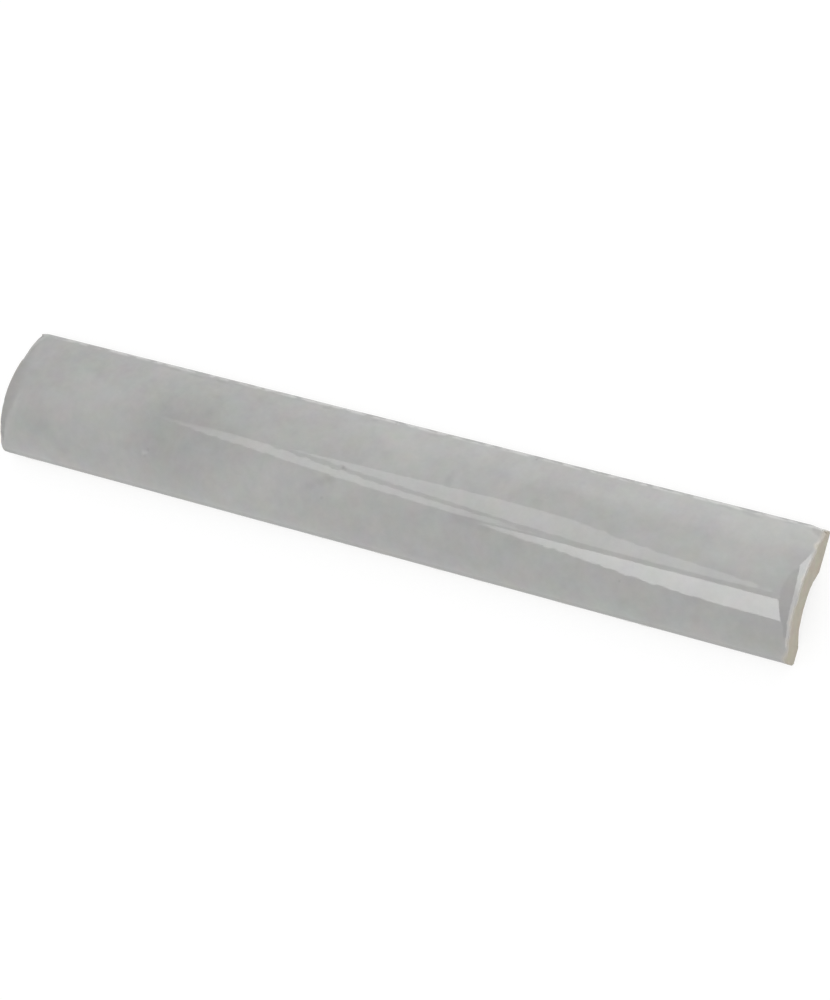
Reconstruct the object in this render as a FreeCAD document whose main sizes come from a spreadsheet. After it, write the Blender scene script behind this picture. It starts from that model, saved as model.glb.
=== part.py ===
import FreeCAD, Part
import math
import os

import Sketcher

# Bullnose tile: a narrow glazed ceramic trim strip, fired as one piece.
# Millimetres. The strip lies on its back with its length along X and its glazed
# face up. The origin is on the floor under the middle of the strip.
# Seen from the +X end, the section has a full round shoulder on the -Y side, a
# crown a little off the middle, and a long slope down to a thin lip on +Y. A
# shallow round channel runs the whole length of the back.

PIECE = "bullnose_tile"

SIZES = [
    ("strip_length", 200.0, "length of the strip, along X"),
    ("strip_width", 30.0, "width from the shoulder's side to the lip's side"),
    ("crown_height", 11.3, "height of the crown over the back plane"),
    ("crown_shift", 2.3, "crown line's distance from the middle, towards -Y"),
    ("corner_height", 5.8, "height where the crown's arc would meet the shoulder's side"),
    ("slope_radius", 40.0, "radius of the long slope down to the thin lip"),
    ("shoulder_radius", 5.0, "radius of the rounded shoulder"),
    ("lip_height", 3.0, "height of the thin lip"),
    ("channel_width", 16.0, "width of the channel at the back plane"),
    ("channel_depth", 4.0, "depth of the channel"),
    ("channel_shift", 2.6, "channel's distance from the middle, towards -Y"),
    ("back_bevel", 0.4, "bevel along the two long edges of the back"),
    ("mouth_rounding", 0.8, "rounding of the channel's two mouth edges"),
    ("end_rounding", 1.0, "rounding of the glazed face at both ends"),
    ("lip_rounding", 0.7, "rounding along the top of the thin lip"),
]

# Ends and centre of a curve as a sketch counts them, its origin and its x axis.
START, END, CENTRE = 1, 2, 3
ROOT = (-1, START)
HORIZONTAL_AXIS = -1

# The section's curves, in order, anticlockwise from the back, then its two
# guide points: the top of the crown and the corner that the shoulder rounds off.
BACK, LIP_SIDE, SLOPE, CROWN, SHOULDER, SHOULDER_SIDE, CROWN_TOP, CORNER = range(8)

# The channel's circle, its guide line across the mouth and its guide point.
CIRCLE, MOUTH, CHANNEL_TOP = range(3)

TOLERANCE = 0.01


def add_sheet(doc):
    """The driving dimensions, one row each: name, value, meaning."""
    sheet = doc.addObject("Spreadsheet::Sheet", "Sizes")
    for row, (name, value, meaning) in enumerate(SIZES, start=1):
        sheet.set(f"A{row}", name)
        sheet.set(f"B{row}", str(value))
        sheet.set(f"C{row}", meaning)
        sheet.setAlias(f"B{row}", name)
    doc.recompute()
    return sheet


def add_sketch(body, name):
    """An empty sketch across the middle of the strip: its x is Y, its y is Z."""
    plane = next(item for item in body.Origin.OriginFeatures if item.Role == "YZ_Plane")
    sketch = body.newObject("Sketcher::SketchObject", name)
    sketch.AttachmentSupport = [(plane, "")]
    sketch.MapMode = "FlatFace"
    return sketch


def bind(sketch, name, size, *constraint):
    """Adds a constraint of its own name to a sketch and ties it to a size."""
    value = getattr(sketch.Document.Sizes, size)
    index = sketch.addConstraint(Sketcher.Constraint(*constraint, value))
    sketch.renameConstraint(index, name)
    sketch.setExpression(f"Constraints.{name}", f"Sizes.{size}")


def arc(centre, radius, start_angle, end_angle):
    """An arc of a sketch, anticlockwise, its angles in radians from its x."""
    circle = Part.Circle(centre, FreeCAD.Vector(0, 0, 1), radius)
    return Part.ArcOfCircle(circle, start_angle, end_angle)


def heading(vector):
    """The angle of a direction in a sketch."""
    return math.atan2(vector.y, vector.x)


def arch_radius(half_span, rise):
    """Radius of the arc with this half span and this rise at its middle."""
    return (half_span**2 + rise**2) / (2 * rise)


def draw_section(body, sheet):
    """The strip's outline without its channel: three straight sides, three arcs."""
    half_width = sheet.strip_width / 2
    left_foot = FreeCAD.Vector(-half_width, 0)
    right_foot = FreeCAD.Vector(half_width, 0)
    lip_top = FreeCAD.Vector(half_width, sheet.lip_height)
    corner = FreeCAD.Vector(-half_width, sheet.corner_height)
    crown_top = FreeCAD.Vector(-sheet.crown_shift, sheet.crown_height)
    crown_radius = arch_radius(crown_top.x - corner.x, crown_top.y - corner.y)
    crown_centre = crown_top - FreeCAD.Vector(0, crown_radius)

    # The slope ends on the lip's top and is tangent to the crown, so the two
    # centres and the lip's top make a triangle with known sides.
    reach = lip_top - crown_centre
    gap = sheet.slope_radius - crown_radius
    turn = math.acos((gap**2 + reach.Length**2 - sheet.slope_radius**2)
                     / (2 * gap * reach.Length))
    slope_start = heading(reach) - turn + math.pi
    slope_centre = crown_centre - gap * FreeCAD.Vector(
        math.cos(slope_start), math.sin(slope_start))

    # The shoulder is tangent to the crown and to the strip's side.
    shoulder_x = -half_width + sheet.shoulder_radius
    rise = math.sqrt((crown_radius - sheet.shoulder_radius)**2
                     - (shoulder_x - crown_centre.x)**2)
    shoulder_centre = FreeCAD.Vector(shoulder_x, crown_centre.y + rise)
    shoulder_foot = FreeCAD.Vector(-half_width, shoulder_centre.y)
    shoulder_start = heading(shoulder_centre - crown_centre)

    sketch = add_sketch(body, "Section")
    sketch.addGeometry([
        Part.LineSegment(left_foot, right_foot),
        Part.LineSegment(right_foot, lip_top),
        arc(slope_centre, sheet.slope_radius, heading(lip_top - slope_centre), slope_start),
        arc(crown_centre, crown_radius, slope_start, shoulder_start),
        arc(shoulder_centre, sheet.shoulder_radius, shoulder_start, math.pi),
        Part.LineSegment(shoulder_foot, left_foot),
    ], False)
    sketch.addGeometry([Part.Point(crown_top), Part.Point(corner)], True)
    sketch.addConstraint([
        Sketcher.Constraint("Coincident", BACK, END, LIP_SIDE, START),
        Sketcher.Constraint("Coincident", LIP_SIDE, END, SLOPE, START),
        Sketcher.Constraint("Tangent", SLOPE, END, CROWN, START),
        Sketcher.Constraint("Tangent", CROWN, END, SHOULDER, START),
        Sketcher.Constraint("Tangent", SHOULDER, END, SHOULDER_SIDE, START),
        Sketcher.Constraint("Coincident", SHOULDER_SIDE, END, BACK, START),
        Sketcher.Constraint("Horizontal", BACK),
        Sketcher.Constraint("Vertical", LIP_SIDE),
        Sketcher.Constraint("Vertical", SHOULDER_SIDE),
        Sketcher.Constraint("Symmetric", BACK, START, BACK, END, *ROOT),
        Sketcher.Constraint("PointOnObject", CROWN_TOP, START, CROWN),
        Sketcher.Constraint("Vertical", CROWN_TOP, START, CROWN, CENTRE),
        Sketcher.Constraint("PointOnObject", CORNER, START, CROWN),
        Sketcher.Constraint("PointOnObject", CORNER, START, SHOULDER_SIDE),
    ])
    bind(sketch, "width", "strip_width", "DistanceX", BACK, START, BACK, END)
    bind(sketch, "lip", "lip_height", "DistanceY", LIP_SIDE, START, LIP_SIDE, END)
    bind(sketch, "shift", "crown_shift", "DistanceX", CROWN_TOP, START, *ROOT)
    bind(sketch, "height", "crown_height", "DistanceY", *ROOT, CROWN_TOP, START)
    bind(sketch, "corner", "corner_height", "DistanceY", *ROOT, CORNER, START)
    bind(sketch, "slope", "slope_radius", "Radius", SLOPE)
    bind(sketch, "shoulder", "shoulder_radius", "Radius", SHOULDER)
    return sketch


def draw_channel(body, sheet):
    """The circle whose top rises into the back and leaves the channel."""
    half_mouth = sheet.channel_width / 2
    radius = arch_radius(half_mouth, sheet.channel_depth)
    channel_top = FreeCAD.Vector(-sheet.channel_shift, sheet.channel_depth)
    mouth_middle = FreeCAD.Vector(-sheet.channel_shift, 0)
    side = FreeCAD.Vector(half_mouth, 0)

    sketch = add_sketch(body, "Channel")
    centre = channel_top - FreeCAD.Vector(0, radius)
    sketch.addGeometry(Part.Circle(centre, FreeCAD.Vector(0, 0, 1), radius), False)
    sketch.addGeometry([
        Part.LineSegment(mouth_middle - side, mouth_middle + side),
        Part.Point(channel_top),
    ], True)
    sketch.addConstraint([
        Sketcher.Constraint("PointOnObject", MOUTH, START, HORIZONTAL_AXIS),
        Sketcher.Constraint("PointOnObject", MOUTH, END, HORIZONTAL_AXIS),
        Sketcher.Constraint("PointOnObject", MOUTH, START, CIRCLE),
        Sketcher.Constraint("PointOnObject", MOUTH, END, CIRCLE),
        Sketcher.Constraint("PointOnObject", CHANNEL_TOP, START, CIRCLE),
        Sketcher.Constraint("Vertical", CHANNEL_TOP, START, CIRCLE, CENTRE),
    ])
    bind(sketch, "width", "channel_width", "DistanceX", MOUTH, START, MOUTH, END)
    bind(sketch, "shift", "channel_shift", "DistanceX", CHANNEL_TOP, START, *ROOT)
    bind(sketch, "depth", "channel_depth", "DistanceY", *ROOT, CHANNEL_TOP, START)
    return sketch


def near(value, target):
    return abs(value - target) < TOLERANCE


def long_edges(feature, *places):
    """Names of the edges that run along the strip at these (y, z) places."""
    length = feature.Shape.BoundBox.XLength
    names = []
    for number, edge in enumerate(feature.Shape.Edges, start=1):
        box = edge.BoundBox
        at_a_place = any(near(box.YMin, y) and near(box.ZMin, z) for y, z in places)
        if box.XLength > length / 2 and at_a_place:
            names.append(f"Edge{number}")
    return names


def face_end_edges(feature, sheet):
    """Names of the glazed face's edges at both ends, from the lip's top up."""
    names = []
    for number, edge in enumerate(feature.Shape.Edges, start=1):
        box = edge.BoundBox
        at_an_end = near(abs(box.XMin), sheet.strip_length / 2) and near(box.XLength, 0)
        above_lip = box.ZMin > sheet.lip_height - TOLERANCE
        if at_an_end and above_lip and box.YLength > TOLERANCE:
            names.append(f"Edge{number}")
    return names


def soften(body, kind, name, edges, setting, size):
    """A rounding or bevel over named edges of the body's newest feature."""
    feature = body.newObject(f"PartDesign::{kind}", name)
    feature.Base = (feature.BaseFeature, edges)
    feature.setExpression(setting, f"Sizes.{size}")
    body.Document.recompute()
    return feature


def build_strip(doc, sheet):
    """The strip: its section run along X, the channel cut out, edges softened."""
    body = doc.addObject("PartDesign::Body", "Strip")
    body.Label = PIECE
    section = draw_section(body, sheet)
    doc.recompute()

    blank = body.newObject("PartDesign::Pad", "Blank")
    blank.Profile = section
    blank.SideType = "Symmetric"
    blank.setExpression("Length", "Sizes.strip_length")
    doc.recompute()
    blank_volume = blank.Shape.Volume

    channel = draw_channel(body, sheet)
    doc.recompute()
    cut = body.newObject("PartDesign::Pocket", "BackChannel")
    cut.Profile = channel
    cut.SideType = "Symmetric"
    cut.Type = "ThroughAll"
    doc.recompute()
    if cut.Shape.Volume >= blank_volume:
        raise RuntimeError("the channel cuts nothing out of the strip")

    half_width = sheet.strip_width / 2
    half_mouth = sheet.channel_width / 2
    back_edges = long_edges(cut, (-half_width, 0), (half_width, 0))
    bevel = soften(body, "Chamfer", "BackBevel", back_edges, "Size", "back_bevel")

    mouth_edges = long_edges(bevel, (-sheet.channel_shift - half_mouth, 0),
                             (-sheet.channel_shift + half_mouth, 0))
    mouth = soften(body, "Fillet", "MouthRounding", mouth_edges, "Radius", "mouth_rounding")

    # The rounding of the ends runs on down the shoulder's side, and the one
    # along the lip runs on over both ends, because those edges are tangent.
    end_edges = face_end_edges(mouth, sheet)
    ends = soften(body, "Fillet", "EndRounding", end_edges, "Radius", "end_rounding")

    lip_edge = long_edges(ends, (half_width, sheet.lip_height))
    soften(body, "Fillet", "LipRounding", lip_edge, "Radius", "lip_rounding")
    body.Placement = FreeCAD.Placement()
    return body


def check(doc, body):
    """Stops before anything is written if a feature failed."""
    doc.recompute()
    failed = [item.Name for item in doc.Objects
              if {"Invalid", "Error"} & set(item.State)]
    if failed:
        raise RuntimeError(f"features that failed: {failed}")
    shape = body.Shape
    if shape.isNull() or not shape.isValid() or len(shape.Solids) != 1:
        raise RuntimeError("the strip is not one valid solid")


doc = FreeCAD.newDocument("BullnoseTile")
sheet = add_sheet(doc)
strip = build_strip(doc, sheet)
check(doc, strip)
os.makedirs("parts", exist_ok=True)
strip.Shape.exportStep(f"parts/{strip.Label}.step")
box = strip.Shape.optimalBoundingBox(True, False)
print(f"{strip.Label}: {box.XLength:.2f} x {box.YLength:.2f} x {box.ZLength:.2f} mm,"
      f" {strip.Shape.Volume / 1000:.2f} cm3, {len(strip.Shape.Faces)} faces")
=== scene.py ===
# Bullnose tile: a narrow strip of glazed ceramic edge trim, 200 x 30 x 11.3 mm.
# It lies on its back on a white floor, with its thin lip towards +Y and its shoulder towards -Y.

import math

import bmesh
import bpy
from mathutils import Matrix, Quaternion, Vector, noise


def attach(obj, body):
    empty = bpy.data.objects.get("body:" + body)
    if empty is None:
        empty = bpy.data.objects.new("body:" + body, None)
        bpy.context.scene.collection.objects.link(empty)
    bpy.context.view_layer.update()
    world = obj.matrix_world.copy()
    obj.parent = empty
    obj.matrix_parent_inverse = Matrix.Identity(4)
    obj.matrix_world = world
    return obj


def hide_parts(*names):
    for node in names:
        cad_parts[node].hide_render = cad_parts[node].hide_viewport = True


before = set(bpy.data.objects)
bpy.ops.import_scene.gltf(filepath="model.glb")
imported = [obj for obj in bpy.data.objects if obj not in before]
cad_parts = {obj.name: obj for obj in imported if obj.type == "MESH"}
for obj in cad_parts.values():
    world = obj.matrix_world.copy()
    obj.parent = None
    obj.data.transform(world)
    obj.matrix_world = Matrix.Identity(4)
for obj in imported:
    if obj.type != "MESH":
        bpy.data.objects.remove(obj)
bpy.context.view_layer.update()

# The strip.
# A fine stoneware body is pressed to a domed section, with a shallow channel in its back so that
# it dries flat, then glazed on its face only and fired once, so glaze and body are one piece.

# Sizes are in millimetres. Centres and points of the section are given by y and z.
MM = 0.001
HALF_LENGTH = 100.0
HALF_WIDTH = 15.0
CROWN = (-2.3, -6.113)
CROWN_RADIUS = 17.413
SHOULDER_RADIUS = 5.0
SLOPE_RADIUS = 40.0
LIP_HEIGHT = 3.0
LIP_ROUNDING = 0.7
BACK_BEVEL = 0.4
CHANNEL = (-2.6, -6.0)
CHANNEL_RADIUS = 10.0
MOUTH_ROUNDING = 0.8


def bearing(centre, point):
    """Angle of a point seen from a centre, in the section's plane."""
    return math.atan2(point[1] - centre[1], point[0] - centre[0])


def above(centre, radius, y):
    """The point of a circle at this y, on its upper side."""
    return (y, centre[1] + math.sqrt(radius ** 2 - (y - centre[0]) ** 2))


# The slope's arc ends at the lip and touches the crown's arc, so its centre is found from the two.
lip_top = (HALF_WIDTH, LIP_HEIGHT)
reach = math.dist(CROWN, lip_top)
apart = SLOPE_RADIUS - CROWN_RADIUS
fold = math.acos((apart ** 2 + reach ** 2 - SLOPE_RADIUS ** 2) / (2 * apart * reach))
lean = bearing(CROWN, lip_top) - fold
slope = (CROWN[0] + apart * math.cos(lean), CROWN[1] + apart * math.sin(lean))
shoulder = above(CROWN, CROWN_RADIUS - SHOULDER_RADIUS, SHOULDER_RADIUS - HALF_WIDTH)
lip = above(slope, SLOPE_RADIUS - LIP_ROUNDING, HALF_WIDTH - LIP_ROUNDING)
mouth_half = math.sqrt((CHANNEL_RADIUS + MOUTH_ROUNDING) ** 2 - (MOUTH_ROUNDING - CHANNEL[1]) ** 2)
mouth_left = (CHANNEL[0] - mouth_half, MOUTH_ROUNDING)
mouth_right = (CHANNEL[0] + mouth_half, MOUTH_ROUNDING)


def verts_among(parts):
    """The vertices among what an operator gives back."""
    return [part for part in parts if isinstance(part, bmesh.types.BMVert)]


def arc(tip, centre, angle, steps):
    """Spins the section's open end about a centre and returns the new end."""
    made = bmesh.ops.spin(
        body, geom=[tip], cent=Vector((0, *centre)) * MM, axis=(1, 0, 0), dvec=(0, 0, 0),
        angle=angle, steps=steps,
    )
    return verts_among(made["geom_last"])[0]


def straight(tip, y, z, steps):
    """Draws the section's open end out in a straight line and returns the new end."""
    move = (Vector((tip.co.x, y * MM, z * MM)) - tip.co) / steps
    for _ in range(steps):
        start = tip.co.copy()
        tip = bmesh.ops.extrude_vert_indiv(body, verts=[tip])["verts"][0]
        tip.co = start + move
    return tip


# The section is drawn from the lip's foot over the face to the shoulder's foot, and back under,
# with as many steps on the back as on the face.
MAIN_HALF = 96.0
FACE_STEPS = (5, 6, 30, 46, 13, 6)
BACK_STEPS = (2, 10, 7, 56, 7, 22, 2)

body = bmesh.new()
foot = body.verts.new(Vector((-MAIN_HALF, HALF_WIDTH, BACK_BEVEL)) * MM)
tip = straight(foot, HALF_WIDTH, lip[1], FACE_STEPS[0])
tip = arc(tip, lip, bearing(slope, lip), FACE_STEPS[1])
tip = arc(tip, slope, bearing(slope, CROWN) - bearing(slope, lip), FACE_STEPS[2])
tip = arc(tip, CROWN, bearing(CROWN, shoulder) - bearing(slope, CROWN), FACE_STEPS[3])
tip = arc(tip, shoulder, math.pi - bearing(CROWN, shoulder), FACE_STEPS[4])
tip = straight(tip, -HALF_WIDTH, BACK_BEVEL, FACE_STEPS[5])
tip = straight(tip, BACK_BEVEL - HALF_WIDTH, 0, BACK_STEPS[0])
tip = straight(tip, mouth_left[0], 0, BACK_STEPS[1])
mouth_turn = bearing(mouth_left, CHANNEL) + math.pi / 2
tip = arc(tip, mouth_left, mouth_turn, BACK_STEPS[2])
tip = arc(tip, CHANNEL, -2 * mouth_turn, BACK_STEPS[3])
tip = arc(tip, mouth_right, mouth_turn, BACK_STEPS[4])
tip = straight(tip, HALF_WIDTH - BACK_BEVEL, 0, BACK_STEPS[5])
tip = straight(tip, HALF_WIDTH - BACK_BEVEL / 2, BACK_BEVEL / 2, BACK_STEPS[6] - 1)
body.edges.new((tip, foot))


def open_rim(end):
    """The edges round the open left (-1) or right (1) end."""
    return [
        edge for edge in body.edges
        if len(edge.link_faces) == 1 and edge.verts[0].co.x * end > 0
    ]


# The section is drawn along in even rows, and then in ever finer ones this far from each end.
ROW = 0.64
END_ROWS = (
    3.6, 3.2, 2.8, 2.4, 2.1, 1.85, 1.62, 1.42, 1.24, 1.08, 0.93,
    0.79, 0.66, 0.54, 0.43, 0.32, 0.2, 0.12, 0.06, 0.02, 0.0,
)
bmesh.ops.spin(
    body, geom=body.edges[:], cent=(0, 0, 0), axis=(1, 0, 0), dvec=(ROW * MM, 0, 0), angle=0,
    steps=round(2 * MAIN_HALF / ROW),
)
for end in (-1, 1):
    for left in END_ROWS:
        made = bmesh.ops.extrude_edge_only(body, edges=open_rim(end))["geom"]
        for vert in verts_among(made):
            vert.co.x = end * (HALF_LENGTH - left) * MM
bmesh.ops.recalc_face_normals(body, faces=body.faces[:])
body.normal_update()

# The glaze came out of the kiln a little unevenly: places of its face that are paler or darker.
# Each is given by x, y, half its length, half its width and its change of tone in percent. The last,
# long strip along the shoulder's edge is painted light, which makes that edge paler.
BROAD_PLACES_AND_SHOULDER_LIGHT = [
    (-50.0, 1.5, 27, 11, -13), (-55.0, -6.0, 14, 7, -5), (-30.0, -9.0, 16, 11, 9),
    (-36.0, 12.0, 22, 7, -5), (88.0, 5.0, 14, 9, 8), (-93.0, 5.5, 12, 6, -6),
    (-79.0, -2.0, 17, 8, 5), (5.0, 6.0, 17, 7, 6), (40.0, 5.5, 14, 5, -4),
    (-92.0, -12.5, 13, 5, 5), (52.0, 14.0, 12, 4, -5), (70.0, 2.0, 22, 5, 4),
    (-6.0, -5.0, 12, 8, 4), (25.0, -2.5, 8, 5, -4), (95.0, -10.0, 11, 8, -5),
    (-92.0, -7.0, 9, 5, -4), (77.0, -6.0, 13, 4, -4), (-66.0, -11.0, 12, 8, 4),
    # Painted light: a long pale strip along the shoulder's edge.
    (0.0, -15.0, 400, 4, 4),
]
SMALL_PLACES = [
    (-11.7, -2.1, 2.4, 1.5, -13), (-13.6, -3.4, 2.2, 1.3, -11), (-15.6, -4.6, 2.2, 1.3, -8),
    (16.0, 4.8, 1.6, 2.8, -9), (-0.3, 6.5, 2.2, 1.8, -6), (31.8, 4.6, 1.9, 1.6, -5),
    (37.5, 4.6, 1.9, 1.6, -5), (26.4, 9.3, 4.0, 3.0, -4), (22.6, -3.4, 4.5, 2.0, -6),
    (20.7, -6.8, 3.0, 2.0, -4), (28.3, -3.9, 1.9, 1.3, -7), (35.0, -5.3, 5.0, 1.8, -5),
    (-10.2, -8.0, 1.8, 1.4, -5), (-5.5, -5.5, 3.0, 2.0, -3), (27.7, -12.2, 2.2, 2.0, -4),
    (2.1, -13.2, 3.0, 1.6, -4), (11.6, -13.1, 2.2, 1.5, -4), (-9.9, 13.5, 2.6, 1.5, -5),
    (13.8, 13.5, 3.0, 1.6, -4), (32.3, 13.8, 2.0, 1.3, -6), (-94.8, 4.7, 3.6, 1.5, -5),
    (-58.6, 4.9, 2.4, 2.0, -5), (-46.3, 5.8, 3.2, 2.2, -6), (-56.4, -3.3, 3.0, 1.8, -4),
    (-49.5, -3.3, 2.6, 1.8, -4), (-65.0, -6.5, 3.0, 1.6, -4), (-87.7, -7.1, 4.0, 2.0, -4),
    (-78.0, 8.7, 4.0, 2.0, -3), (-81.4, -11.2, 2.0, 1.6, -4), (79.0, -11.0, 2.4, 1.8, -4),
    (62.5, -11.6, 2.6, 1.8, -5), (56.0, -7.5, 2.0, 1.5, -4), (87.0, -8.4, 2.2, 1.6, -4),
    (-72.0, 3.5, 4.0, 2.5, 3), (-64.0, 12.0, 5.0, 2.5, 3), (47.0, 10.0, 5.0, 2.5, 3),
]


def toning(x, y):
    """How much paler or darker the glaze is here than its plain tone, as a share, painted light included."""
    change = 0.0
    for middle_x, middle_y, half_length, half_width, percent in BROAD_PLACES_AND_SHOULDER_LIGHT + SMALL_PLACES:
        apart = ((x - middle_x) / half_length) ** 2 + ((y - middle_y) / half_width) ** 2
        if apart < 1:
            change += percent / 100 * (1 - apart) ** 2
    return change


# Firing draws the glaze back from the ends, so the face falls away there and meets the body's
# raw end at a low, uneven arris. Every move is inwards, so the strip stays within its sizes.
# The long fall starts this far from the left (-1) and the right (1) end and is this deep there.
# A steeper one follows near the arris, and its very corner is rounded. The upright sides fall
# away by a small share of all that.
PILLOW_START = {-1: 5.6, 1: 4.3}
PILLOW_DEPTH = 0.27735
ARRIS_START = 1.5
ARRIS_BEND = 0.075
CORNER = 0.2
SIDE_FALL = 0.12


def held(value):
    """The value, held between 0 and 1."""
    return min(1.0, max(0.0, value))


def ripple(point, size, seed):
    """Smooth noise, about -1 to 1, with features of this size in millimetres."""
    return noise.noise(Vector(point) / size + Vector((seed, seed * 1.7, -seed))) * 1.6


def rounding(left):
    """How far the very corner is rounded off, this far from an end."""
    return CORNER - math.sqrt(CORNER ** 2 - max(CORNER - left, 0.0) ** 2)


def fall(left, end, shift):
    """How far the crown lies under the section, this far from the left or right end."""
    start = PILLOW_START[end]
    pillow = PILLOW_DEPTH * (max(start + shift - left, 0) / start) ** 2
    arris = ARRIS_BEND * max(ARRIS_START + shift - left, 0) ** 2
    return pillow + arris + rounding(left)


# Handling has worn the lip's corner at each end: over this length, this deep at its top, and at
# its foot by this share of that.
LIP_WEAR = {-1: (1.6, 0.3, 1.0), 1: (3.4, 0.65, 0.0)}
LIP_WEAR_START = 12.5
LIP_WEAR_FULL = 14.5


def lip_wear(left, end, point):
    """How far the lip's corner is worn off in the last few millimetres."""
    length, depth, at_foot = LIP_WEAR[end]
    outward = held((point[1] - LIP_WEAR_START) / (LIP_WEAR_FULL - LIP_WEAR_START))
    upward = at_foot + (1 - at_foot) * held(point[2] / LIP_HEIGHT)
    return depth * outward ** 2 * upward * max(0.0, 1 - left / length)


# The glazed arris is nicked, deeper at the left end than at the right, but not at the lip's edge.
NICK_DEPTH = {-1: 0.4, 1: 0.15}
NICK_REACH = 0.8
NICKED_UP_TO = 14.0


def nick(left, end, point):
    """How deep the arris is chipped here, up to a few tenths of a millimetre."""
    chips = max(0.0, ripple(point, 1.5, 4.4) - 0.3) * held(NICKED_UP_TO - point[1])
    return NICK_DEPTH[end] * max(0.0, 1 - left / NICK_REACH) * chips


def glazed_depth(left, end, point, facing_up):
    """How far the glazed face lies under the section: faint broad waves, and its fall at the end."""
    rim_point = (30 * end, point[1], point[2])
    shift = 0.1 * ripple(rim_point, 6.0, 7.7) + 0.08 * ripple(rim_point, 1.9, 2.9)
    share = SIDE_FALL + (1 - SIDE_FALL) * facing_up ** 2 * (3 - 2 * facing_up)
    waves = 0.015 + 0.012 * ripple(point, 22.0, 1.3) + 0.003 * ripple(point, 8.0, 4.7)
    worn = lip_wear(left, end, point) + nick(left, end, rim_point)
    return share * fall(left, end, shift) + waves + worn


# The raw back is rough, and near both ends it has crumbled a little and is nicked. Its two flats
# are pressed smoother.
CRUMBLED = 1.2
FLATS_SHARE = 0.4


def raw_depth(left, end, point):
    """How far the raw back lies under the section."""
    depth = 0.05 + 0.05 * ripple(point, 5.0, 3.1) + 0.03 * ripple(point, 1.8, 5.3)
    if left < CRUMBLED:
        depth += (1 - left / CRUMBLED) * max(0.0, 0.08 + 0.2 * ripple(point, 3.6, 6.7))
        depth += nick(left, -1, point)
    depth += lip_wear(left, end, point) + 0.5 * rounding(left)
    return depth * FLATS_SHARE if point[2] < 0.01 else depth


# The glaze runs this far over the arris of the ends and stops this high on the long sides, and
# higher near the ends. At the right end it is drawn back over the shoulder and near the lip.
OVER_ARRIS = 0.1
SIDE_LINE = 0.7
SIDE_LINE_RISE = 1.5
SIDE_TOP = 3.7
BACK_OVER_SHOULDER = 1.2
BACK_NEAR_LIP = 0.6
DEEP_IN_GLAZE = -3.0
DEEP_IN_BODY = 2.0


def beyond_glaze(left, end, point):
    """How far a point of the face or of a long side lies beyond the line where the glaze stops."""
    y, z = point[1], point[2]
    drawn_back = 0.0
    if end == 1:
        drawn_back = BACK_OVER_SHOULDER * held((-12.0 - y) / 2.8) + BACK_NEAR_LIP * held((y - 8.5) / 2.5)
    side = DEEP_IN_GLAZE
    if abs(y) > HALF_WIDTH - 0.01 and z < SIDE_TOP:
        side = SIDE_LINE + max(0.0, 1 - left / SIDE_LINE_RISE) - z
    return max(side, drawn_back - left - OVER_ARRIS)


bare = body.verts.layers.float.new("bare")
tone = body.verts.layers.float.new("tone")
for vert in body.verts:
    point = vert.co / MM
    end = 1 if point.x > 0 else -1
    left = HALF_LENGTH - abs(point.x)
    on_back = vert.normal.z < -0.1
    if on_back:
        vert[bare] = DEEP_IN_BODY
        depth = raw_depth(left, end, point)
    else:
        vert[bare] = beyond_glaze(left, end, point)
        vert[tone] = toning(point.x, point.y)
        depth = glazed_depth(left, end, point, held(vert.normal.z / 0.8))
    vert.co -= vert.normal * max(depth, 0.0) * MM

# Each end is closed by one face. Rungs split it, from each vertex of the glazed edge to the one
# across from it on the back's edge, counted from the lip's foot. The rungs are then cut up, and
# the raw end that they make is roughened.
RUNG_CUTS = 9
SHARP = 0.5
for end in (-1, 1):
    cap = bmesh.ops.contextual_create(body, geom=open_rim(end))["faces"][0]
    loop = [corner.vert for corner in cap.loops]
    lip_foot = (HALF_WIDTH * MM, BACK_BEVEL * MM)
    first = min(range(len(loop)), key=lambda number: math.dist(loop[number].co.yz, lip_foot))
    loop = loop[first:] + loop[:first]
    if loop[3].co.z < loop[-3].co.z:
        loop = loop[:1] + loop[:0:-1]
    rungs = []
    for step in range(1, sum(FACE_STEPS)):
        top, bottom = loop[step], loop[-step]
        cap = next(face for face in top.link_faces if bottom in face.verts)
        bmesh.utils.face_split(cap, top, bottom)
        rungs.append(next(edge for edge in top.link_edges if edge.other_vert(top) is bottom))
    for rung in rungs:
        top, bottom = sorted(rung.verts, key=lambda vert: vert[bare])
        bottom[bare] = top[bare] + rung.calc_length() / MM
    made = bmesh.ops.subdivide_edges(body, edges=rungs, cuts=RUNG_CUTS, use_grid_fill=True)
    for vert in verts_among(made["geom_inner"]):
        point = vert.co / MM
        depth = 0.05 + 0.05 * ripple(point, 3.0, 9.1) + 0.03 * ripple(point, 1.0, 6.1)
        vert.co.x -= end * max(depth, 0.0) * MM
bmesh.ops.recalc_face_normals(body, faces=body.faces[:])
for edge in body.edges:
    edge.smooth = edge.calc_face_angle(0) < SHARP
for face in body.faces:
    face.smooth = True


def placed(name, shape):
    """Turns a finished shape into an object of the scene and returns it."""
    mesh = bpy.data.meshes.new(name)
    shape.to_mesh(mesh)
    shape.free()
    piece = bpy.data.objects.new(name, mesh)
    bpy.context.scene.collection.objects.link(piece)
    return piece


strip = placed("glazed_strip", body)


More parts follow.
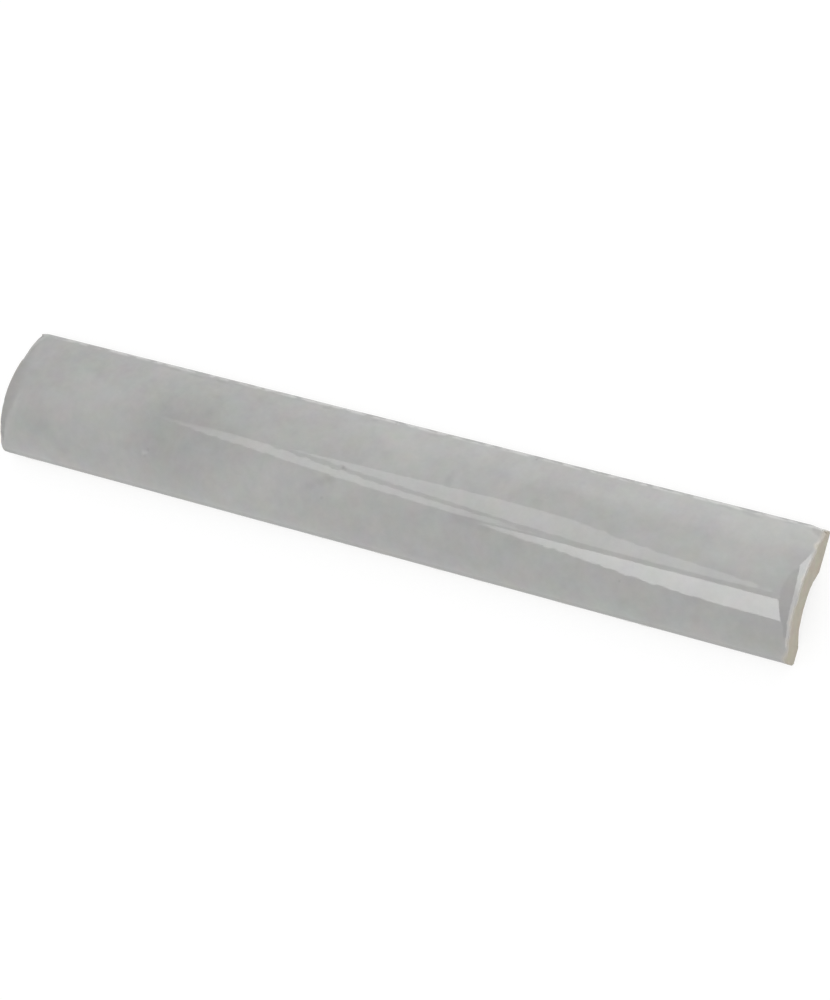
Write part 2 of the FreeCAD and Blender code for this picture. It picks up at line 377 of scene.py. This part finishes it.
class Signal:
    """A shader node's output. Arithmetic on it adds Math nodes, and other nodes come from add()."""

    def __init__(self, tree, socket=None):
        self.tree = tree
        self.socket = socket

    def add(self, kind, settings, values, output=0):
        """Adds a node: its settings first, then its sockets' values or links, by name or number."""
        node = self.tree.nodes.new(kind)
        for name, setting in settings.items():
            setattr(node, name, setting)
        for name, value in values.items():
            if isinstance(value, Signal):
                self.tree.links.new(value.socket, node.inputs[name])
            else:
                node.inputs[name].default_value = value
        return Signal(self.tree, node.outputs[output] if node.outputs else None)

    def math(self, operation, *values):
        """A Math node on these values."""
        return self.add("ShaderNodeMath", {"operation": operation}, dict(enumerate(values)))

    def __add__(self, other):
        return self.math("ADD", self, other)

    def __sub__(self, other):
        return self.math("SUBTRACT", self, other)

    def __mul__(self, other):
        return self.math("MULTIPLY", self, other)

    def __rsub__(self, other):
        return self.math("SUBTRACT", other, self)

    __radd__ = __add__
    __rmul__ = __mul__

    def vector(self, operation, values, output=0):
        """A Vector Math node on this vector and these values."""
        return self.add("ShaderNodeVectorMath", {"operation": operation}, {0: self, **values}, output)

    def times(self, other):
        """This colour or vector, multiplied by another, part by part."""
        return self.vector("MULTIPLY", {1: other})

    def scaled(self, amount):
        """This colour or vector, all of it multiplied by a number."""
        return self.vector("SCALE", {"Scale": amount})

    def distance(self, centre):
        """How far this point is from a centre."""
        return self.vector("DISTANCE", {1: centre}, "Value")

    def axis(self, name):
        """X, Y or Z of this vector."""
        return self.add("ShaderNodeSeparateXYZ", {}, {0: self}, name)

    def here(self):
        """The shaded point, in metres, on the object's own coordinates."""
        return self.add("ShaderNodeTexCoord", {}, {}, "Object")

    def carried(self, name):
        """What the mesh carries under this name."""
        return self.add("ShaderNodeAttribute", {"attribute_name": name}, {}, "Fac")

    def ramp(self, low, high, start=0.0, end=1.0):
        """Goes smoothly from start to end as this signal goes from low to high."""
        return self.add(
            "ShaderNodeMapRange", {"interpolation_type": "SMOOTHSTEP"},
            {0: self, 1: low, 2: high, 3: start, 4: end},
        )

    def between(self, first, second):
        """Mixes two colours, by this signal."""
        return self.add("ShaderNodeMix", {"data_type": "RGBA"}, {0: self, 6: first, 7: second}, 2)


def blank(owner):
    """Clears the nodes of a material or of the room's air, and starts them anew."""
    owner.use_nodes = True
    owner.node_tree.nodes.clear()
    return Signal(owner.node_tree)


def clouds(place, size, detail=2.0, roughness=0.5, distortion=0.0, output=0):
    """Noise on the piece's own coordinates, from 0 to 1, with features of this size in millimetres."""
    course = {"Detail": detail, "Roughness": roughness, "Distortion": distortion}
    return place.add("ShaderNodeTexNoise", {}, {"Vector": place, "Scale": 1 / (size * MM), **course}, output)


def tinted(colour, casts, strength):
    """The colour with faint casts of other colours over it."""
    tint = casts.vector("MULTIPLY_ADD", {1: [strength] * 3, 2: [1 - strength / 2] * 3})
    return colour.times(tint)


# Glaze and bare body share one finish. The mesh carries how far each point lies beyond the line
# where the glaze stops, in millimetres, and noise makes that line ragged.
finish = bpy.data.materials.new("glazed_ceramic_finish")
clay = blank(finish)
place = clay.here()
drawn_out = place.add("ShaderNodeMapping", {"vector_type": "POINT"}, {0: place, 3: (0.3, 1.0, 0.3)})
beyond_line = clay.carried("bare")
wander = (clouds(place, 5.0, 2.0) - 0.5) * 1.2 + (clouds(drawn_out, 2.3, 1.0) - 0.5) * 2.2
bare_body = (beyond_line + wander).ramp(-0.75, 0.95)

# The glaze is a clouded grey with a fine mottle and faint casts, and has its paler and darker
# places, with the painted light along the shoulder's edge, which the mesh carries as well.
DARK_GLAZE = (0.326, 0.327, 0.320, 1.0)
PALE_GLAZE = (0.475, 0.476, 0.464, 1.0)
GLAZE_TINTING = 0.13
clouding = (clouds(place, 9.0, 4.0, 0.6, 0.4) - 0.5) * 0.5
mottle = (clouds(place, 2.1, 3.0, 0.6) - 0.5) * 0.4
glaze = (clouding + mottle + 0.5).between(DARK_GLAZE, PALE_GLAZE)
glaze = tinted(glaze, clouds(place, 6.0, 3.0, 0.6, output="Color"), GLAZE_TINTING)
glaze = glaze.scaled(clay.carried("tone") + 1.0)

# Specks, and one shallow pit drawn as painted shade and painted highlight, by x, y, radius in
# millimetres and how dark or pale they are.
SPECKS_AND_PIT_SHADING = [
    (-9.2, 1.1, 0.7, -0.22), (-8.5, 0.9, 0.5, -0.12), (-12.4, -6.6, 0.6, -0.1),
    (61.0, -7.5, 0.5, -0.14), (-3.0, 14.3, 0.5, -0.15), (32.3, 14.2, 0.5, -0.2),
    # The last four are the pit: its two darker spots are painted shade, its two paler ones painted
    # highlight.
    (-58.6, -6.2, 0.7, -0.1), (-59.2, -7.8, 0.7, -0.1), (-59.7, -7.1, 0.9, 0.13),
    (-58.9, -6.9, 0.7, 0.1),
]
flat = place.times((1.0, 1.0, 0.0))
for x, y, radius, change in SPECKS_AND_PIT_SHADING:
    apart = flat.distance((x * MM, y * MM, 0.0))
    glaze = glaze.scaled(apart.ramp(radius * MM, 0.0, 1.0, 1.0 + change))

# Towards its line the glaze is thin, and the pale body shows through.
THIN_GLAZE = (0.525, 0.50, 0.472, 1.0)
thin = (beyond_line + wander * 0.6).ramp(-0.75, 0.1)
glaze = (thin * 0.7).between(glaze, THIN_GLAZE)

# Along the lip's edge runs a broken pale line, thin glaze with a painted glint. Beside it, where the
# glaze has pooled in a shallow groove, darker patches are painted shade.
LIP_THIN_GLAZE_AND_GLINT = (0.68, 0.68, 0.67, 1.0)
LIP_GROOVE_SHADE = (0.26, 0.26, 0.255, 1.0)
across = place.axis("Y")
lip_edge = across.ramp(14.05 * MM, 14.65 * MM) * place.axis("Z").ramp(1.7 * MM, 2.5 * MM)
thin_glaze_and_glint = clouds(drawn_out, 0.9, 2.0).ramp(0.38, 0.60) * lip_edge
glaze = (thin_glaze_and_glint * 0.55).between(glaze, LIP_THIN_GLAZE_AND_GLINT)
# Painted shade of the shallow groove beside the lip's edge, in darker patches.
beside_edge = across.ramp(13.1 * MM, 13.9 * MM) * across.ramp(14.7 * MM, 14.1 * MM)
groove_shade = clouds(drawn_out, 1.6, 2.0).ramp(0.54, 0.66) * beside_edge
glaze = (groove_shade * 0.25).between(glaze, LIP_GROOVE_SHADE)

# The bare body is tan, matte and grainy, and lies a little under the glaze.
DARK_BODY = (0.392, 0.358, 0.285, 1.0)
PALE_BODY = (0.464, 0.427, 0.358, 1.0)
BODY_TINTING = 0.16
BODY_ROUGHNESS = 0.85
GLAZE_ROUGHNESS = 0.035
biscuit = clouds(place, 2.4, 4.0, 0.6).between(DARK_BODY, PALE_BODY)
biscuit = tinted(biscuit, clouds(place, 3.2, 2.0, 0.5, output="Color"), BODY_TINTING)
colour = bare_body.between(glaze, biscuit)
roughness = bare_body * BODY_ROUGHNESS + (1.0 - bare_body) * GLAZE_ROUGHNESS
glaze_height = (clouds(place, 2.8, 0.0) - 0.5) * 0.011
body_height = (clouds(place, 0.35, 3.0, 0.65) - 0.5) * 0.06 - 0.12
surface = bare_body * body_height + (1.0 - bare_body) * glaze_height
relief = clay.add("ShaderNodeBump", {}, {"Strength": 1.0, "Distance": MM, "Height": surface})
shader = clay.add(
    "ShaderNodeBsdfPrincipled", {},
    {"Base Color": colour, "Roughness": roughness, "IOR": 1.5, "Normal": relief},
)
clay.add("ShaderNodeOutputMaterial", {}, {"Surface": shader})
strip.data.materials.append(finish)

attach(strip, "root")
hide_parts("bullnose_tile")

# The floor.
# A plain white table top. It looks white to the eye and in the glaze, and keeps the strip's shadow.
FLOOR_HALF = 3.0
FLOOR_GAP = 0.02
FLOOR_GLOW = 0.7
WHITE = (1.0, 1.0, 1.0, 1.0)


def seen_by_eye(paint):
    """1 for what the eye sees, also mirrored or through glass, and 0 for what only lights."""
    kinds = ("Is Camera Ray", "Is Glossy Ray", "Is Transmission Ray")
    direct, mirrored, through = (paint.add("ShaderNodeLightPath", {}, {}, kind) for kind in kinds)
    return paint.math("MINIMUM", direct + mirrored + through, 1.0)


table = bmesh.new()
bmesh.ops.create_grid(table, x_segments=1, y_segments=1, size=FLOOR_HALF)
floor = placed("floor", table)
floor.location.z = -FLOOR_GAP * MM
white = bpy.data.materials.new("white_table")
paint = blank(white)
matte = paint.add("ShaderNodeBsdfDiffuse", {}, {"Color": (0.92, 0.92, 0.92, 1.0)})
glow = paint.add("ShaderNodeEmission", {}, {"Color": WHITE, "Strength": 1.1})
both = paint.add("ShaderNodeMixShader", {}, {0: seen_by_eye(paint) * FLOOR_GLOW, 1: matte, 2: glow})
paint.add("ShaderNodeOutputMaterial", {}, {"Surface": both})
floor.data.materials.append(white)

# The camera.
# It looks down on the strip from beyond its right end, turned so that the strip runs across.
EYE = Vector((0.262311, -0.035129, 0.581046))
AIM = Vector((0.005053, -0.001154, 0.0))
TURN = -67.08
lens = bpy.data.cameras.new("camera")
lens.lens = 101.385
lens.sensor_width = 36.0
lens.clip_start = 0.01
camera = bpy.data.objects.new("camera", lens)
bpy.context.scene.collection.objects.link(camera)
camera.rotation_mode = "QUATERNION"
camera.location = EYE
camera.rotation_quaternion = (AIM - EYE).to_track_quat("-Z", "Y") @ Quaternion((0, 0, 1), math.radians(TURN))
bpy.context.scene.camera = camera

# The light.
# An even white room, a soft bright wall beyond the lip, and bright and dark panels that only the
# glaze mirrors: three overhead give the long streaks, the others shade its falling ends.
room = bpy.data.worlds.new("room")
bpy.context.scene.world = room
air = blank(room)
brightness = seen_by_eye(air) * 0.1 + 0.9
glow = air.add("ShaderNodeBackground", {}, {"Color": WHITE, "Strength": brightness})
air.add("ShaderNodeOutputWorld", {}, {"Surface": glow})


def panel(name, corners, only_mirrored=True):
    """Hangs up a flat panel with these corners, unseen by the camera, and returns its paint."""
    sheet = bmesh.new()
    bmesh.ops.contextual_create(sheet, geom=[sheet.verts.new(corner) for corner in corners])
    bmesh.ops.triangulate(sheet, faces=sheet.faces[:])
    hung = placed(name, sheet)
    hung.visible_camera = False
    hung.visible_shadow = False
    hung.visible_diffuse = not only_mirrored
    light = bpy.data.materials.new(name)
    hung.data.materials.append(light)
    return blank(light)


def shine(paint, brightness):
    """Lets a panel's paint shine at this brightness, where 1 is the room's white."""
    if isinstance(brightness, Signal):
        glow = paint.add("ShaderNodeEmission", {}, {"Color": brightness, "Strength": 1.0})
    else:
        glow = paint.add("ShaderNodeEmission", {}, {"Color": WHITE, "Strength": brightness})
    paint.add("ShaderNodeOutputMaterial", {}, {"Surface": glow})


def along(paint):
    """How far along the room a point of a panel is, in metres."""
    return paint.here().axis("X")


def across_room(paint):
    """How far beyond the lip a point of a panel is, in metres."""
    return paint.here().axis("Y")


# Panels overhead, by the x and y of their corners in metres.
OVERHEAD = 1.0
PANELS = {
    "panel_low": [
        (-0.382, -0.027), (-0.359, -0.012), (-0.304, -0.012), (-0.222, 0.014), (-0.178, 0.014),
        (-0.141, -0.073), (-0.102, -0.264), (-0.077, -0.521), (-0.235, -0.524), (-0.272, -0.508),
        (-0.294, -0.440), (-0.310, -0.346), (-0.331, -0.265), (-0.350, -0.168), (-0.362, -0.138),
        (-0.382, -0.068),
    ],
    "panel_wide": [
        (-0.622, 0.665), (-0.598, 0.718), (-0.554, 0.750), (-0.530, 0.818), (-0.496, 0.837),
        (-0.457, 0.812), (-0.429, 0.764), (-0.399, 0.697), (-0.362, 0.587), (-0.309, 0.444),
        (-0.271, 0.368), (-0.236, 0.296), (-0.210, 0.220), (-0.203, 0.149), (-0.238, 0.119),
        (-0.293, 0.112), (-0.320, 0.116), (-0.351, 0.173), (-0.383, 0.227), (-0.419, 0.297),
        (-0.453, 0.350), (-0.498, 0.444), (-0.545, 0.532), (-0.577, 0.603),
    ],
    "panel_slim": [
        (-0.722, 0.640), (-0.690, 0.682), (-0.651, 0.655), (-0.629, 0.628), (-0.595, 0.555),
        (-0.565, 0.487), (-0.517, 0.388), (-0.474, 0.298), (-0.423, 0.209), (-0.376, 0.137),
        (-0.335, 0.085), (-0.340, 0.040), (-0.400, 0.031), (-0.428, 0.072), (-0.473, 0.137),
        (-0.523, 0.240), (-0.561, 0.315), (-0.604, 0.395), (-0.628, 0.444), (-0.660, 0.517),
        (-0.700, 0.590),
    ],
    "panel_end": [
        (-0.141, 1.387), (0.019, 0.750), (0.166, 0.252), (0.197, -0.114), (0.288, -0.522),
        (0.423, -1.172), (0.594, -2.120), (2.5, -2.2), (2.5, 4.2), (1.2, 3.2), (0.461, 2.3),
        (0.081, 1.85), (-0.141, 1.45),
    ],
    "card_end": [
        (-0.141, 1.387), (0.019, 0.750), (0.166, 0.252), (0.197, -0.114), (0.288, -0.522),
        (0.423, -1.172), (0.080, -1.172), (-0.077, -0.521), (-0.102, -0.264), (-0.141, -0.073),
        (-0.178, 0.250), (-0.190, 0.900),
    ],
}
paints = {}
for name, corners in PANELS.items():
    paints[name] = panel(name, [(x, y, OVERHEAD) for x, y in corners])
low, slim, right = paints["panel_low"], paints["panel_slim"], paints["panel_end"]
shine(low, along(low).ramp(-0.39, -0.31) * 2.5 + along(low).ramp(-0.33, -0.20) * 0.5 + 2.4)
shine(paints["panel_wide"], 2.6)
slim_left = along(slim).ramp(-0.704, -0.645) * 1.2 + along(slim).ramp(-0.66, -0.59) * 0.4
shine(slim, slim_left - along(slim).ramp(-0.41, -0.34) * 1.4 + 1.4)
shine(right, across_room(right).ramp(0.2, 0.7) * 1.9 + 2.9)
shine(paints["card_end"], 0.15)

# A panel hangs just before the wall, by the x and z of its corners.
WALL_DISTANCE = 1.2
PANEL_SIDE = [
    (-0.115, 0.835), (-0.113, 1.0), (2.0, 1.0), (2.0, 0.33), (0.485, 0.46), (0.35, 0.515),
    (0.246, 0.559), (0.223, 0.591), (0.171, 0.619), (0.117, 0.651), (0.060, 0.677),
    (-0.007, 0.702), (-0.096, 0.765),
]
shine(panel("panel_side", [(x, WALL_DISTANCE - 0.01, z) for x, z in PANEL_SIDE]), 4.8)

# Beyond the left end hangs a round dark card. It is soft towards the lip and crisp towards the
# shoulder, where a faint light rims it, and it is bright round the middle of its foot.
LEFT_DISTANCE = 1.0
CARD_MIDDLE = (0.1, 0.15)
CARD_RADIUS = 1.3
CARD_FOOT = 0.03
CARD_STEPS = 24
tilt = math.asin((CARD_MIDDLE[1] - CARD_FOOT) / CARD_RADIUS)
turns = [-tilt + (math.pi + 2 * tilt) * step / CARD_STEPS for step in range(CARD_STEPS + 1)]
middle = Vector((-LEFT_DISTANCE, *CARD_MIDDLE))
round_card = [middle + CARD_RADIUS * Vector((0.0, math.cos(turn), math.sin(turn))) for turn in turns]
card = panel("card_left", round_card)
out = card.here().distance(middle)
lipward = across_room(card).ramp(-0.15, 0.55)
dark = out.ramp(1.0 - lipward * 0.12, 1.08 + lipward * 0.12)
rim = (1.0 - lipward) * 0.55 * (out.ramp(1.05, 1.11) - out.ramp(1.12, 1.28))
from_foot = card.here().distance((-LEFT_DISTANCE, 0.0, 0.0))
shine(card, dark + rim + from_foot.ramp(0.38, 0.28))

# Close to the strip's foot the table lies in its shade. Each shade is given by the x and y of its
# corners.
SHADE_HEIGHT = 0.0004
FRONT = [(-0.12, -0.0152), (0.12, -0.0152), (0.12, -0.036), (-0.16, -0.036)]
LEFT = [(-0.1002, -0.02), (-0.1002, 0.02), (-0.20, 0.02), (-0.20, -0.02)]
front = panel("shade_front", [(x, y, SHADE_HEIGHT) for x, y in FRONT])
shine(front, across_room(front).ramp(-0.027, -0.016, 1.0, 0.5))
left = panel("shade_left", [(x, y, SHADE_HEIGHT) for x, y in LEFT])
shine(left, along(left).ramp(-0.19, -0.105, 1.0, 0.3))

# The wall is soft at its top and brighter towards the right, by the x and z of its corners.
WALL = [(-1.4, 0.02), (0.9, 0.02), (0.9, 0.75), (-1.4, 0.75)]
wall = panel("wall", [(x, WALL_DISTANCE, z) for x, z in WALL], only_mirrored=False)
rising = 1.6 * along(wall).ramp(-0.95, -0.2) - 0.4
shine(wall, 1.0 + rising * wall.here().axis("Z").ramp(0.75, 0.3))

view = bpy.context.scene.view_settings
view.view_transform = "Standard"
